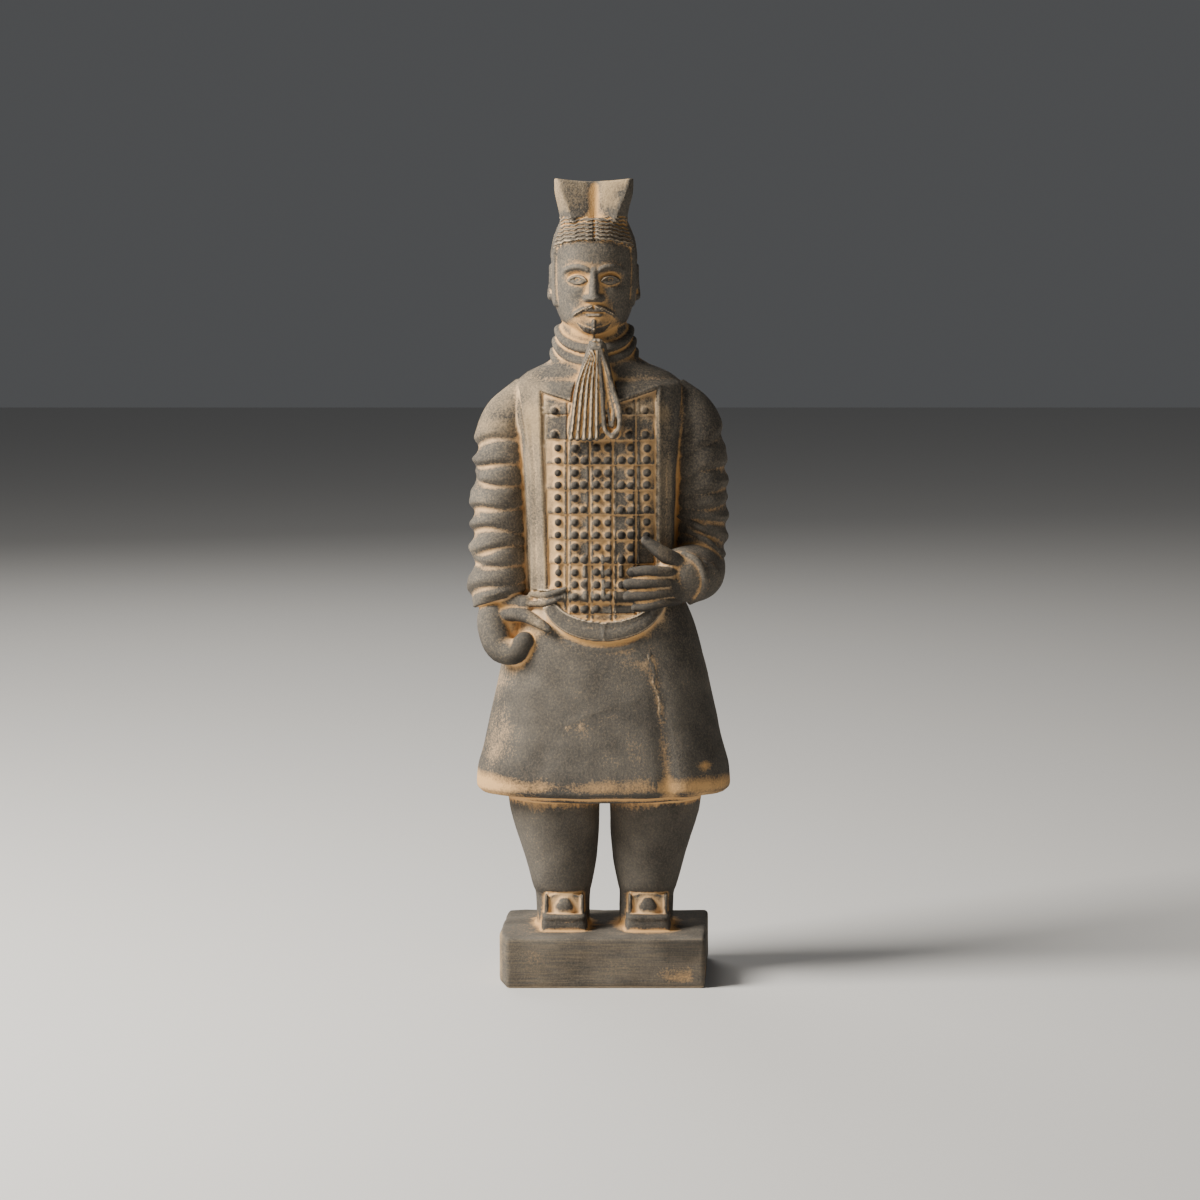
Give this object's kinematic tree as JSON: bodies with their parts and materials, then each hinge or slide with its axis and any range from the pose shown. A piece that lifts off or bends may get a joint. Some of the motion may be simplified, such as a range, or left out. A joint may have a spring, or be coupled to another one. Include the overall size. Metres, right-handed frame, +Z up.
{
  "type": "warrior statuette",
  "caption": "Moulded clay statuette of a standing armoured officer with a flared cap, a scarf knotted at the neck and one hand on the belt, on a low rectangular plinth.",
  "frame": {"origin": "middle of the plinth's underside", "axes": "+Z up along the figure, -Y towards the front it faces, +X towards the figure's left hand"},
  "size_m": [0.0657, 0.039, 0.2],
  "materials": {
    "fired_clay": "unglazed grey-brown fired clay, matt and slightly sandy, with an ochre wash left in the recesses"
  },
  "bodies": {
    "root": {"warrior_statue": "fired_clay"}
  },
  "joints": []
}
